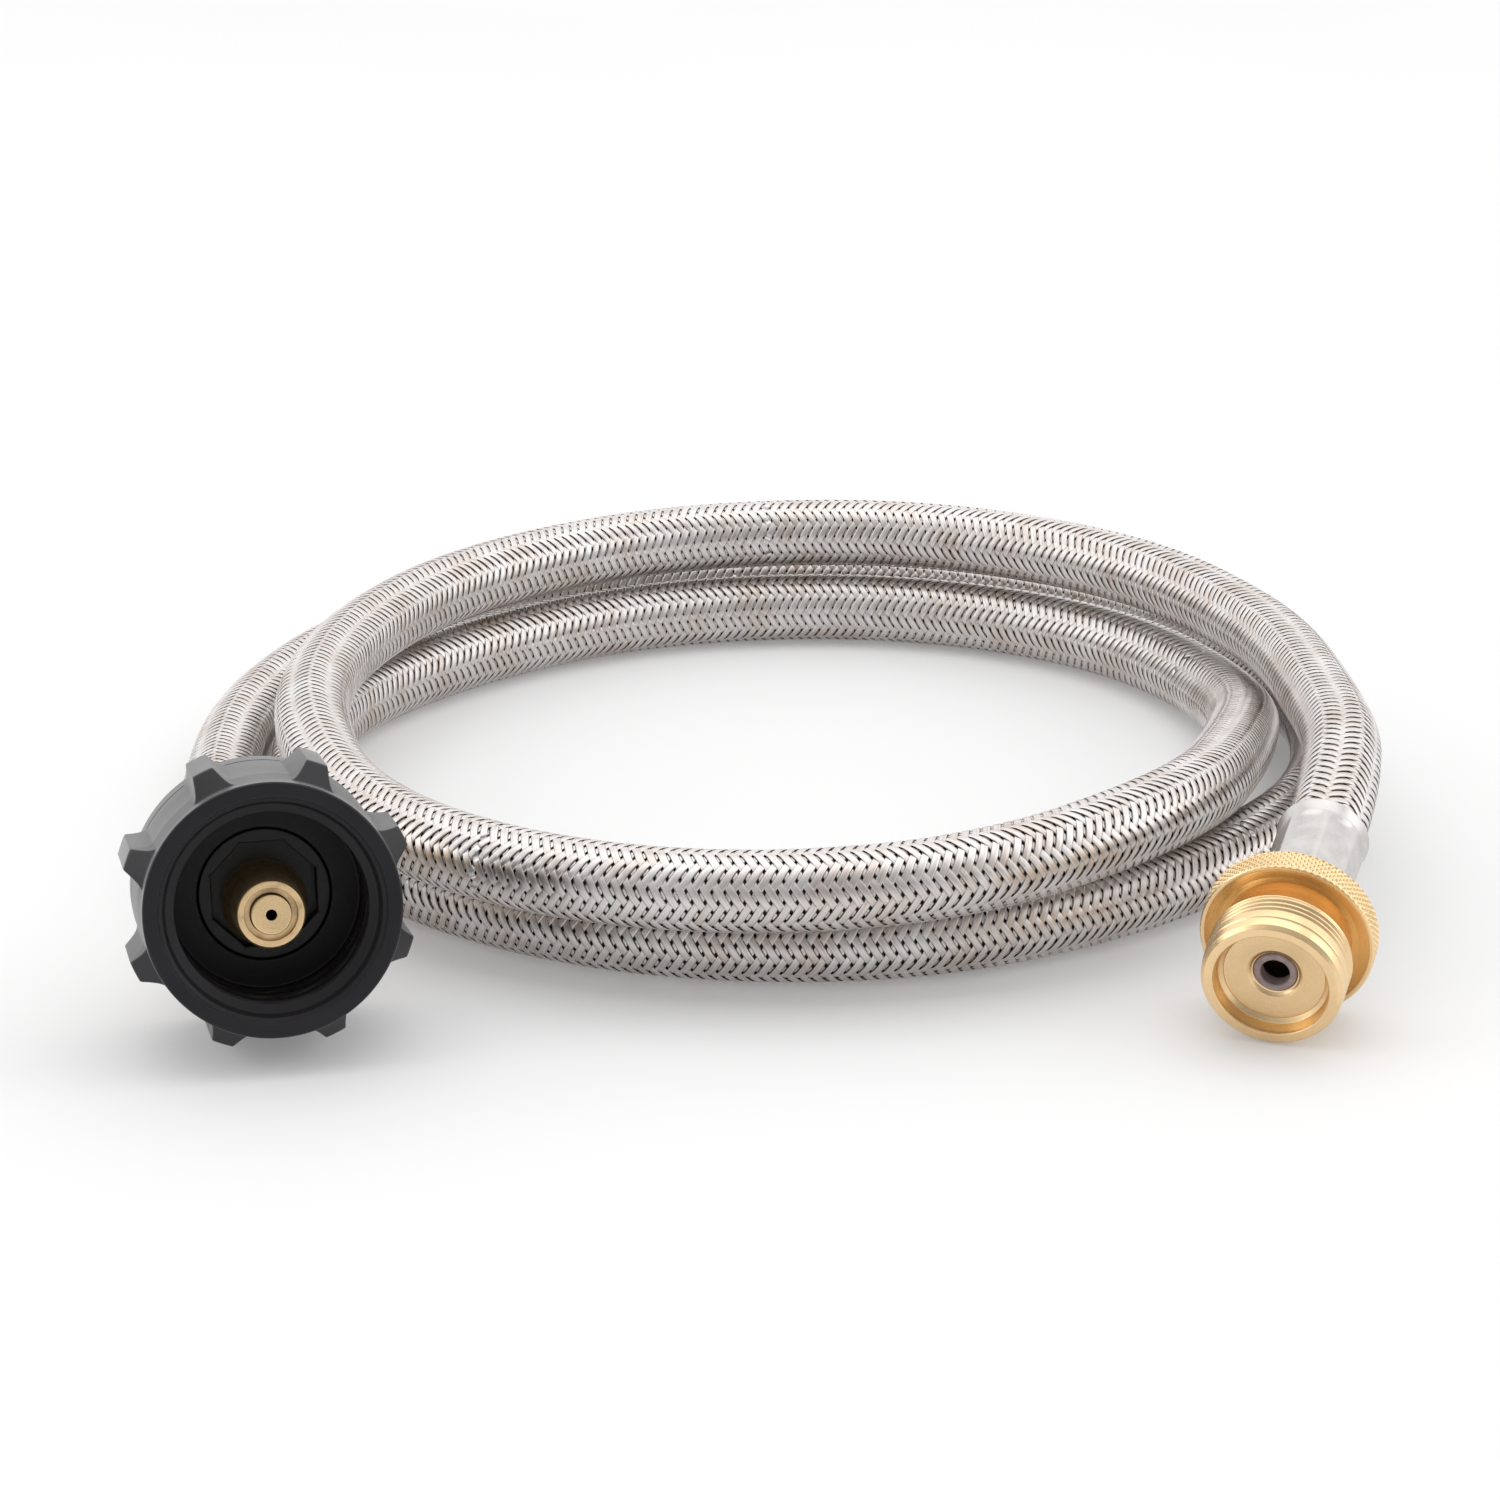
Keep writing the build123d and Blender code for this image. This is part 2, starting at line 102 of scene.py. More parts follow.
# ---- materials ----
class Look:
    """A Principled material and the few nodes that its fine detail is made of."""

    def __init__(self, name, color, metallic=0.0, roughness=0.5, **sockets):
        self.material = bpy.data.materials.new(name)
        self.material.use_nodes = True
        self.nodes = self.material.node_tree.nodes
        self.links = self.material.node_tree.links
        self.shader = self.nodes["Principled BSDF"]
        self.set("Base Color", (*color, 1))
        self.set("Metallic", metallic)
        self.set("Roughness", roughness)
        for socket, value in sockets.items():
            self.set(socket.replace("_", " "), value)

    def set(self, socket, value):
        self.shader.inputs[socket].default_value = value

    def coords(self, scale, uv=False):
        if uv:
            source = self.nodes.new("ShaderNodeUVMap")
            source.uv_map = "Look"
            output = source.outputs[0]
        else:
            output = self.nodes.new("ShaderNodeTexCoord").outputs["Object"]
        mapping = self.nodes.new("ShaderNodeMapping")
        mapping.inputs["Scale"].default_value = scale
        self.links.new(output, mapping.inputs["Vector"])
        return mapping.outputs[0]

    def noise(self, vector, detail=3.0, roughness=0.5):
        node = self.nodes.new("ShaderNodeTexNoise")
        node.inputs["Scale"].default_value = 1.0
        node.inputs["Detail"].default_value = detail
        node.inputs["Roughness"].default_value = roughness
        self.links.new(vector, node.inputs["Vector"])
        return node.outputs["Fac"]

    def math(self, operation, first, second=0.0, third=None):
        node = self.nodes.new("ShaderNodeMath")
        node.operation = operation
        values = (first, second) if third is None else (first, second, third)
        for socket, value in zip(node.inputs, values):
            if isinstance(value, (int, float)):
                socket.default_value = value
            else:
                self.links.new(value, socket)
        return node.outputs[0]

    def axis(self, vector, index):
        node = self.nodes.new("ShaderNodeSeparateXYZ")
        self.links.new(vector, node.inputs[0])
        return node.outputs[index]

    def spread(self, value, low, high, start=0.3, end=0.7):
        node = self.nodes.new("ShaderNodeMapRange")
        self.links.new(value, node.inputs["Value"])
        for socket, number in zip(node.inputs[1:5], (start, end, low, high)):
            socket.default_value = number
        return node.outputs[0]

    def tint(self, factor, *colors):
        node = self.nodes.new("ShaderNodeValToRGB")
        ramp = node.color_ramp
        for index, (place, color) in enumerate(colors):
            if index > 1:
                ramp.elements.new(place)
        for element, (place, color) in zip(ramp.elements, colors):
            element.position = place
            element.color = (*color, 1)
        self.links.new(factor, node.inputs[0])
        self.links.new(node.outputs[0], self.shader.inputs["Base Color"])

    def rough(self, value, *span):
        """Roughness from a value, or from a noise spread between two numbers."""
        value = self.spread(value, *span) if span else value
        self.links.new(value, self.shader.inputs["Roughness"])

    def speckle(self, scale, detail, rough=None, lift=None):
        """Even fine noise, which may drive the roughness between two numbers and raise a bump."""
        noise = self.noise(self.coords((scale, scale, scale)), detail=detail)
        if rough:
            self.rough(noise, *rough)
        if lift:
            self.bump(noise, lift, 0.4)
        return noise

    def bump(self, height, distance, strength=1.0):
        node = self.nodes.new("ShaderNodeBump")
        node.inputs["Strength"].default_value = strength
        node.inputs["Distance"].default_value = distance
        self.links.new(height, node.inputs["Height"])
        if self.shader.inputs["Normal"].is_linked:
            before = self.shader.inputs["Normal"].links[0].from_socket
            self.links.new(before, node.inputs["Normal"])
        self.links.new(node.outputs[0], self.shader.inputs["Normal"])


def scaled(color, factor):
    return tuple(min(1.0, channel * factor) for channel in color)


BRASS = (0.88, 0.64, 0.36)
brass = Look("turned_brass", BRASS, metallic=1.0, roughness=0.26)
rings = brass.noise(brass.coords((2.5, 9, 1), uv=True), detail=4)
smudge = brass.speckle(90, 4)
brass.tint(smudge, (0.30, scaled(BRASS, 0.88)), (0.55, BRASS), (0.75, scaled(BRASS, 1.06)))
brass.rough(brass.math("ADD", rings, smudge), 0.20, 0.36, 0.7, 1.3)
brass.bump(rings, 0.00004, 0.35)

worn_brass = Look("rubbed_brass", BRASS, metallic=1.0, roughness=0.34)
rings = worn_brass.noise(worn_brass.coords((2, 12, 1), uv=True), detail=4)
smudge = worn_brass.noise(worn_brass.coords((260, 260, 260)), detail=5, roughness=0.6)
worn_brass.tint(
    smudge, (0.30, scaled(BRASS, 0.62)), (0.45, scaled(BRASS, 0.92)), (0.70, scaled(BRASS, 1.06))
)
worn_brass.rough(smudge, 0.52, 0.36)
worn_brass.bump(rings, 0.00004, 0.4)

NUT_BLACK = (0.011, 0.010, 0.0125)
plastic = Look(
    "satin_plastic",
    NUT_BLACK,
    roughness=0.4,
    Specular_IOR_Level=0.28,
    Sheen_Weight=0.46,
    Sheen_Roughness=0.3,
)
cloud = plastic.speckle(60, 3, rough=(0.34, 0.44))
plastic.tint(cloud, (0.35, scaled(NUT_BLACK, 0.85)), (0.65, scaled(NUT_BLACK, 1.2)))
plastic.bump(plastic.speckle(3200, 2), 0.00003, 0.5)

# Painted shade: a blacker, duller plastic for the nut's bore and inner lip, which lie in shade
painted_bore_shade = Look("nut_bore_painted_shade", (0.007, 0.006, 0.008), roughness=0.5, Specular_IOR_Level=0.3)
painted_bore_shade.speckle(1800, 2, rough=(0.42, 0.56), lift=0.00003)

# The bushing's own black plastic; on the nut's pale washer it is painted shade
bushing_black_and_washer_shade = Look(
    "moulded_bushing_and_washer_shade", (0.010, 0.009, 0.010), roughness=0.38, Specular_IOR_Level=0.35
)
bushing_black_and_washer_shade.speckle(1500, 2, rough=(0.33, 0.46), lift=0.00003)

CRIMP = (0.54, 0.52, 0.51)
crimp = Look("plated_crimp", CRIMP, metallic=1.0, roughness=0.3)
drawn = crimp.noise(crimp.coords((160, 0.6, 1), uv=True), detail=4)
cloud = crimp.speckle(300, 3, rough=(0.24, 0.34))
crimp.tint(cloud, (0.3, scaled(CRIMP, 0.9)), (0.5, CRIMP), (0.7, scaled(CRIMP, 1.1)))
crimp.bump(drawn, 0.00004, 0.4)

WIRES = 7
braid = Look("braided_steel", (0.82, 0.78, 0.76), metallic=1.0, roughness=0.32)
across = braid.coords((1, 1, 1), uv=True)
wires = braid.math("SINE", braid.math("MULTIPLY", braid.axis(across, 0), TAU * WIRES))
strand = braid.noise(braid.coords((7.3, 0.04, 1), uv=True), detail=1)
stain = braid.noise(braid.coords((120, 120, 120)), detail=4, roughness=0.6)
tone = braid.math("MULTIPLY_ADD", strand, 0.5, braid.math("MULTIPLY", stain, 0.5))
braid.tint(
    tone,
    (0.36, (0.57, 0.48, 0.43)),
    (0.46, (0.63, 0.58, 0.55)),
    (0.53, (0.68, 0.645, 0.63)),
    (0.64, (0.75, 0.73, 0.72)),
)
braid.rough(stain, 0.28, 0.38)
braid.bump(wires, 0.000012, 0.6)

core_black = Look("hose_core", (0.012, 0.012, 0.013), roughness=0.7)
core_black.speckle(900, 2, lift=0.00005)

MAUVE = (0.30, 0.235, 0.235)
grommet_rubber = Look("mauve_rubber", MAUVE, roughness=0.55)
cloud = grommet_rubber.speckle(700, 3, lift=0.00004)
grommet_rubber.tint(cloud, (0.35, scaled(MAUVE, 0.85)), (0.65, scaled(MAUVE, 1.15)))

# Painted shade: dark brass for bores and grooves that lie in shade
bore_dark = Look("shaded_bore", (0.10, 0.075, 0.055), metallic=1.0, roughness=0.5)
bore_dark.speckle(800, 3, rough=(0.4, 0.6))

ring_rubber = Look("seal_rubber", (0.02, 0.02, 0.02), roughness=0.5)
ring_rubber.speckle(900, 2, rough=(0.42, 0.6))

wire_steel = Look("drawn_wire", (0.62, 0.61, 0.60), metallic=1.0, roughness=0.25)
wire_steel.speckle(700, 3, rough=(0.2, 0.36))

aluminium = Look("washer_aluminium", (0.83, 0.83, 0.84), metallic=1.0, roughness=0.35)
aluminium.speckle(500, 3, rough=(0.28, 0.42))

acetal = Look("washer_acetal", (0.80, 0.79, 0.74), roughness=0.45)
cloud = acetal.speckle(400, 3, rough=(0.4, 0.52))
acetal.tint(cloud, (0.35, (0.72, 0.71, 0.66)), (0.65, (0.84, 0.83, 0.79)))

# CAD nodes whose own shape stays: small inner pieces that need only a material, their own finish
# or, for the nut's washer, painted shade
NODE_LOOKS = {
    # Painted shade: the nut's pale washer gets the bushing's black, as it lies in shade deep in the
    # nut
    "nut_washer": bushing_black_and_washer_shade,
    "poppet_seal": ring_rubber,
    "poppet_retainer": worn_brass,
    "inlet_stem": brass,
    "stem_washer": aluminium,
    "outlet_stem": brass,
    "swivel_seals": ring_rubber,
    "swivel_clip": wire_steel,
    "thrust_washer": acetal,
}
for node, look in NODE_LOOKS.items():
    for material_slot in frame["nodes"][node].material_slots:
        material_slot.material = look.material


# ---- mesh builders ----
def make_mesh(name, points, quads, look, uvs=None, normals=None, sharp=None):
    """An object from arrays; uvs maps each layer's name to one pair per quad corner."""
    mesh = bpy.data.meshes.new(name)
    mesh.vertices.add(len(points))
    mesh.vertices.foreach_set("co", np.ascontiguousarray(points, np.float32).ravel())
    mesh.loops.add(quads.size)
    mesh.loops.foreach_set("vertex_index", np.ascontiguousarray(quads, np.int32).ravel())
    mesh.polygons.add(len(quads))
    mesh.polygons.foreach_set("loop_start", np.arange(0, quads.size, 4, dtype=np.int32))
    mesh.polygons.foreach_set("use_smooth", np.ones(len(quads), bool))
    for layer_name, values in (uvs or {}).items():
        layer = mesh.uv_layers.new(name=layer_name)
        layer.data.foreach_set("uv", np.ascontiguousarray(values, np.float32).ravel())
    mesh.update(calc_edges=True)
    if sharp is not None:
        mesh.set_sharp_from_angle(angle=math.radians(sharp))
    if normals is not None:
        mesh.normals_split_custom_set_from_vertices(np.ascontiguousarray(normals, np.float32))
    mesh.materials.append(look.material)
    made = bpy.data.objects.new(name, mesh)
    bpy.context.scene.collection.objects.link(made)
    return made


def grid_quads(rows, columns):
    """Quads of a grid that closes on itself both ways; point (k, j) is number k * columns + j."""
    k, j = np.meshgrid(np.arange(rows), np.arange(columns), indexing="ij")
    k, j = k.ravel(), j.ravel()
    above, beside = (k + 1) % rows, (j + 1) % columns
    corners = ((k, j), (k, beside), (above, beside), (above, j))
    return np.stack([row * columns + column for row, column in corners], 1), k, j


def tube_quads(rows, sides):
    """Quads of a tube with its two ends closed, facing out where the rings turn right-handed."""
    quads, k, j = grid_quads(rows, sides)
    walls = quads[k < rows - 1]
    last = sides - 1
    cap = np.array([[i, i + 1, last - i - 1, last - i] for i in range(sides // 2 - 1)])
    return np.vstack([walls, cap[:, ::-1], (rows - 1) * sides + cap])


def rounded(outline, radius, steps=4):
    """The closed (r, z) outline with every corner rounded, and the outward normal at each point."""
    corners = [(*point, radius)[:3] for point in outline]
    flat = np.array([corner[:2] for corner in corners], float)
    after = np.roll(flat, -1, 0)
    if np.sum(flat[:, 0] * after[:, 1] - after[:, 0] * flat[:, 1]) < 0:
        corners.reverse()
        flat = flat[::-1]
    points, normals = [], []
    for index, corner in enumerate(corners):
        here = flat[index]
        back = flat[index - 1] - here
        ahead = flat[(index + 1) % len(flat)] - here
        run = min(np.linalg.norm(back), np.linalg.norm(ahead))
        back, ahead = back / np.linalg.norm(back), ahead / np.linalg.norm(ahead)
        first = np.array([-back[1], back[0]])
        last = np.array([ahead[1], -ahead[0]])
        half = math.acos(np.clip(back @ ahead, -1, 1)) / 2
        if half > math.radians(89) or corner[2] == 0:
            points.append(here)
            normals.append((first + last) / np.linalg.norm(first + last))
            continue
        cut = min(corner[2] / math.tan(half), 0.45 * run)
        bend = cut * math.tan(half)
        middle = (back + ahead) / np.linalg.norm(back + ahead)
        centre = here + middle * math.hypot(cut, bend)
        convex = first @ middle < 0
        for share in np.linspace(0, 1, steps + 1):
            normal = first * (1 - share) + last * share
            normal /= np.linalg.norm(normal)
            points.append(centre + normal * (bend if convex else -bend))
            normals.append(normal)
    return np.array(points), np.array(normals)


COARSE_STEP = 1.5


def split_runs(points, fine, support=0.18):
    """The outline cut up. fine lists (r, r, z, z, step) windows and the step of runs inside them.

    A run is inside where its middle is. support keeps a point close to each corner.
    """
    dense = []
    for start, end in zip(points, np.roll(points, -1, 0)):
        run = np.linalg.norm(end - start)
        r, z = (start + end) / 2
        step = COARSE_STEP
        for r_low, r_high, z_low, z_high, window_step in fine:
            if r_low < r < r_high and z_low < z < z_high:
                step = window_step
        shares = [0.0]
        if run > 4 * support:
            inner = max(1, math.ceil((run - 2 * support) / step))
            shares += list(np.linspace(support / run, 1 - support / run, inner + 1))
        elif run > step:
            shares = list(np.linspace(0, 1, math.ceil(run / step), endpoint=False))
        dense += [start + (end - start) * share for share in shares]
    return np.array(dense)


def lathe(name, end, outline, look, radius=0.2, segments=160, warp=None, fine=(), sharp=None):
    """A piece turned from an outline of (r, z) or (r, z, corner radius) points about an end's axis.

    warp takes radius, angle and depth and returns the radius and depth of what isn't round.
    segments is how many sides it has, or the angles of its sides.
    """
    points, normals = rounded(outline, radius)
    if warp:
        points = split_runs(points, fine)
    angles = segments
    if isinstance(segments, int):
        angles = np.linspace(0, TAU, segments, endpoint=False)
    rows, columns = len(points), len(angles)
    radii = np.repeat(points[:, :1], columns, 1)
    depths = np.repeat(points[:, 1:], columns, 1)
    turned = np.repeat(angles[None], rows, 0)
    if warp:
        radii, depths = warp(radii, turned, depths)
    local = np.stack([radii * np.cos(turned), radii * np.sin(turned), depths], -1).reshape(-1, 3)
    quads, k, j = grid_quads(rows, columns)
    lengths = np.r_[0, np.cumsum(np.linalg.norm(np.roll(points, -1, 0) - points, axis=1))]
    around = np.r_[angles, TAU] / TAU
    uv = np.stack(
        [
            np.stack([around[j], around[j + 1], around[j + 1], around[j]], 1),
            np.stack([lengths[k], lengths[k], lengths[k + 1], lengths[k + 1]], 1),
        ],
        -1,
    )
    shading = None
    if not warp:
        outward = np.stack(
            [
                normals[:, :1] * np.cos(angles),
                normals[:, :1] * np.sin(angles),
                np.repeat(normals[:, 1:], columns, 1),
            ],
            -1,
        )
        shading = end.turn(outward.reshape(-1, 3))
    return make_mesh(name, end.place(local), quads, look, {"Look": uv}, shading, sharp)


def paint_bore_shade(piece, end, look, reach, front=0.0, back=100.0):
    """Paint shade: give a second, darker material to the faces within reach of the end's axis and
    between two depths.
    """
    piece.data.materials.append(look.material)
    for polygon in piece.data.polygons:
        x, y, depth = end.to_local(polygon.center)
        polygon.material_index = int(math.hypot(x, y) < reach and front < depth < back)


def stands_for(piece, body, slot, *nodes):
    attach(piece, body)
    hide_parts(*nodes)
    return piece


def soft_min(first, second, width):
    blend = np.clip(0.5 + (second - first) / (2 * width), 0, 1)
    return second * (1 - blend) + first * blend - width * blend * (1 - blend)


def between(depth, front, back, rise, fall):
    """One between two depths and zero beyond them, with a straight ramp inside each."""
    return np.clip((depth - front) / rise, 0, 1) * np.clip((back - depth) / fall, 0, 1)


def polygon_reach(angle, sides, flat, phase=0.0):
    """How far a regular polygon's side is from its centre at each angle."""
    share = TAU / sides
    return flat / np.cos((angle - phase) % share - share / 2)


# ---- hand nut ----
LOBES = 8
LOBE_PHASE = math.radians(-23.2)
RING_RADIUS = 22.2
BODY_RADIUS = 22.55
CREST_RADIUS = 25.75
CREST_HALF_WIDTH = 1.9
FLANK_WIDTH = 2.9
FLANK_CURVE = 2.1
LOBE_FRONT = 3.0
LOBE_FRONT_SLOPE = 0.80
LOBE_BACK = 24.0
LOBE_BACK_SLOPE = 4.0
PARTING_DEPTH = 0.28
PARTING_WIDTH = 0.16
PARTING_BEHIND_LOBES = 0.15
ACME_PITCH = 5.08
ACME_CREST = 16.65
ACME_DEPTH = 1.15
ACME_FRONT = 2.9
ACME_BACK = 16.2
ACME_HALF_GROOVE = 0.29  # as a share of the pitch, like the flank
ACME_FLANK = 0.09


def lobe_height(angle):
    """The lobes' cross-section over the body: a flat crest and concave flanks."""
    share = TAU / LOBES
    offset = np.abs((angle - LOBE_PHASE + share / 2) % share - share / 2) * CREST_RADIUS
    rise = CREST_RADIUS - BODY_RADIUS
    flank = rise * np.clip(1 - (offset - CREST_HALF_WIDTH) / FLANK_WIDTH, 0, 2) ** FLANK_CURVE
    return soft_min(flank, np.full_like(flank, rise), width=0.35)


def nut_warp(radii, angle, depth):
    """The lobes and the parting line behind them outside, and the coarse thread inside."""
    outside = radii > 20.5
    ramp = (depth - LOBE_FRONT) * LOBE_FRONT_SLOPE
    rear = (LOBE_BACK - depth) * LOBE_BACK_SLOPE
    height = soft_min(soft_min(lobe_height(angle), ramp, width=0.22), rear, width=0.5)
    behind = depth - LOBE_BACK - PARTING_BEHIND_LOBES
    parting = PARTING_DEPTH * np.exp(-((behind / PARTING_WIDTH) ** 2))
    shaped = radii + np.where(outside & (depth > 1.0), np.maximum(height, 0), 0)
    shaped -= np.where(outside & (depth > 22), parting, 0)
    turn = (depth / ACME_PITCH - angle / TAU) % 1.0
    groove = np.clip((ACME_HALF_GROOVE - np.abs(turn - 0.5)) / ACME_FLANK, 0, 1)
    ends = between(depth, ACME_FRONT, ACME_BACK, rise=0.8, fall=0.8)
    inside = np.abs(radii - ACME_CREST) < 0.02
    shaped += np.where(inside, ACME_DEPTH * groove * ends, 0)
    return shaped, depth


nut_outline = [
    (RING_RADIUS, 0, 0.5),
    (RING_RADIUS, 1.6, 0),
    (RING_RADIUS + 0.05, 2.8, 0),
    (BODY_RADIUS, 8.0, 0),
    (BODY_RADIUS, LOBE_BACK - 1.2, 0),
    (BODY_RADIUS, LOBE_BACK - 0.3, 0),
    (BODY_RADIUS, LOBE_BACK + 0.6, 0),
    (BODY_RADIUS, 30.0, 0.9),
    (9.3, 30.0, 0.3),
    (9.3, 22.2, 0.3),
    (11.7, 22.2, 0.3),
    (11.7, 17.0, 0.35),
    (ACME_CREST, 17.0, 0.3),
    (ACME_CREST, 3.0, 0.2),
    (18.2, 2.2, 0.25),
    (18.75, 0.9, 0.2),
    (19.35, 0.55, 0.15),
    (19.7, 0, 0.2),
]
lobe_share = math.degrees(TAU / LOBES)
in_lobe = np.concatenate(
    [
        np.linspace(0, 3.6, 5, endpoint=False),
        np.linspace(3.6, 11.5, 22, endpoint=False),
        np.linspace(11.5, 33.5, 13, endpoint=False),
        np.linspace(33.5, 41.4, 22, endpoint=False),
        np.linspace(41.4, lobe_share, 5, endpoint=False),
    ]
)
nut_angles = np.radians(np.concatenate([in_lobe + lobe_share * lobe for lobe in range(LOBES)]))
nut_fine = (
    (16.6, 16.7, 3, 17, 0.42),
    (22, 23, 2.8, 8, 0.26),
    (22, 23, LOBE_BACK - 1.2, LOBE_BACK - 0.3, 0.15),
    (22, 23, LOBE_BACK - 0.3, LOBE_BACK + 0.6, 0.08),
)
nut = lathe(
    "hand_nut_shell",
    NUT,
    nut_outline,
    plastic,
    warp=nut_warp,
    fine=nut_fine,
    segments=nut_angles + LOBE_PHASE,
)
# Painted shade on the nut's bore, thread and inner lip
paint_bore_shade(nut, NUT, painted_bore_shade, 19.3, front=0.5, back=29.0)
stands_for(nut, "nut", "nut_plastic", "hand_nut")

# ---- heat-sensitive bushing: a cup with an octagonal mouth round the nipple ----
BUSHING_RADIUS = 11.5
BUSHING_SIDES = 8
BUSHING_FLAT = 9.15
BUSHING_FRONT = 17.2
BUSHING_FLOOR = 20.0
BUSHING_BACK = 21.0
SHANK_RADIUS = 7.4


def bushing_warp(radii, angle, depth):
    """The mouth is an octagon on the nut's axis; the floor's hole is round on the nipple's axis."""
    mouth = polygon_reach(angle, BUSHING_SIDES, BUSHING_FLAT, phase=math.pi / BUSHING_SIDES)
    lean = NUT_OFFSET * np.sin(angle)
    hole = lean + np.sqrt(SHANK_RADIUS**2 - NUT_OFFSET**2 * np.cos(angle) ** 2)
    inner = np.where(radii > 8, mouth + radii - BUSHING_FLAT, hole)
    return np.where(radii > 10, radii, inner), depth


bushing = lathe(
    "bushing_cup",
    NUT,
    [
        (BUSHING_RADIUS, BUSHING_FRONT, 0.25),
        (BUSHING_RADIUS, BUSHING_BACK, 0.2),
        (SHANK_RADIUS, BUSHING_BACK, 0),
        (SHANK_RADIUS, BUSHING_FLOOR, 0),
        (BUSHING_FLAT, BUSHING_FLOOR, 0.1),
        (BUSHING_FLAT, BUSHING_FRONT, 0.25),
    ],
    bushing_black_and_washer_shade,
    warp=bushing_warp,
    fine=((8, 12, 17, 21, 0.6),),
    segments=256,
    sharp=35,
)
stands_for(bushing, "root", "bushing_plastic", "thermal_bushing")

# ---- nipple: rounded nose, chamber and a chamfered spanner hexagon ----
HEX_FLAT = 9.5


def hex_warp(radii, angle, depth):
    """Six flats cut into the turned outline, except where its chamfers are lower."""
    cut = np.minimum(radii, polygon_reach(angle, 6, HEX_FLAT))
    return np.where(radii > 9.0, cut, radii), depth


nipple = lathe(
    "nipple_nose",
    INLET,
    [
        (4.6, 5.5, 0.15),
        (5.75, 5.5, 0.35),
        (6.05, 6.3, 0.5),
        (6.3, 13.0, 0.5),
        (SHANK_RADIUS, 16.6, 0.5),
        (SHANK_RADIUS, 34.3, 0.2),
        (5.0, 34.3, 0.1),
        (5.0, 19.0, 0.1),
        (4.6, 19.0, 0.1),
    ],
    worn_brass,
    radius=0.2,
    segments=128,
)
stands_for(nipple, "root", "brass", "inlet_nipple")
hexagon = lathe(
    "nipple_hexagon",
    INLET,
    [(7.0, 34.4), (9.6, 34.4), (10.9, 35.2), (10.9, 40.2), (9.6, 41.0), (7.0, 41.0)],
    brass,
    warp=hex_warp,
    radius=0.1,
    fine=((9, 12, 34, 42, 0.3),),
    segments=240,
    sharp=28,
)
stands_for(hexagon, "root", "brass", "inlet_nipple")

# ---- flow poppet: crowned plug with its bleed hole, a collar and a tail ----
poppet = lathe(
    "poppet_plug",
    INLET,
    [
        (0.95, 4.9, 0.12),
        (3.5, 4.9, 0.3),
        (3.5, 8.1, 0.1),
        (4.5, 8.1, 0.1),
        (4.5, 9.8, 0.1),
        (1.9, 9.8, 0.1),
        (1.9, 14.8, 0.1),
        (2.6, 14.8, 0.1),
        (2.6, 15.3, 0.1),
        (1.9, 15.3, 0.1),
        (1.9, 16.5, 0.1),
        (2.6, 16.5, 0.1),
        (2.6, 17.0, 0.1),
        (0.95, 17.0, 0.1),
    ],
    brass,
    segments=96,
)
# Painted shade on all of the poppet behind its front face, deep inside the nipple
paint_bore_shade(poppet, INLET, bore_dark, 5.0, front=5.6)
stands_for(poppet, "poppet", "brass", "flow_poppet")

# ---- poppet spring: a coil of round wire round the poppet's tail ----
SPRING_COILS = 6
SPRING_RADIUS = 3.75
SPRING_WIRE_RADIUS = 0.35
SPRING_FRONT = 10.25
SPRING_BACK = 18.55
WIRE_SIDES = 12


def coil_spring(name, end, look):
    """A round wire wound right-handed about the end's axis, closed at both ends."""
    share = np.linspace(0, 1, SPRING_COILS * 40 + 1)
    turned = TAU * SPRING_COILS * share
    out = np.stack([np.cos(turned), np.sin(turned), np.zeros_like(turned)], 1)
    middle = out * SPRING_RADIUS
    middle[:, 2] = SPRING_FRONT + (SPRING_BACK - SPRING_FRONT) * share
    tangents = np.gradient(middle, axis=0)
    tangents /= np.linalg.norm(tangents, axis=1)[:, None]
    across = np.cross(tangents, out)
    angles = np.linspace(0, TAU, WIRE_SIDES, endpoint=False)
    ring = out[:, None] * np.cos(angles)[:, None] + across[:, None] * np.sin(angles)[:, None]
    wire = middle[:, None] + ring * SPRING_WIRE_RADIUS
    quads = tube_quads(len(middle), WIRE_SIDES)
    return make_mesh(name, end.place(wire.reshape(-1, 3)), quads, look)


spring = coil_spring("poppet_coil", INLET, wire_steel)
stands_for(spring, "root", "spring_steel", "poppet_spring")
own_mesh(spring)

# ---- outlet body: threaded front, dished bowl and knurled collar ----
FINE_PITCH = 1.27
FINE_DEPTH = 0.5
FINE_FRONT = 3.6
FINE_BACK = 9.25
FINE_PEAK = 1.15  # the groove is a peak of this height and slope with its top cut off at 1
FINE_SLOPE = 3.2
RELIEF_DEPTH = 0.30
RELIEF_WIDTH = 0.2
RELIEF_PLACE = 2.75


def thread_warp(radii, angle, depth):
    """The fine thread, which starts along its own helix, and a relief groove in front of it."""
    turn = (depth / FINE_PITCH - angle / TAU) % 1.0
    groove = np.clip(FINE_PEAK - np.abs(turn - 0.5) * FINE_SLOPE, 0, 1) * FINE_DEPTH
    along = depth - angle / TAU * FINE_PITCH
    ends = np.clip((along - FINE_FRONT) / 0.9, 0, 1) * np.clip((FINE_BACK - depth) / 0.25, 0, 1)
    relief = RELIEF_DEPTH * np.exp(-(((depth - RELIEF_PLACE) / RELIEF_WIDTH) ** 2))
    shaped = radii - np.where(radii > 12.3, groove * ends + relief, 0)
    return shaped, depth


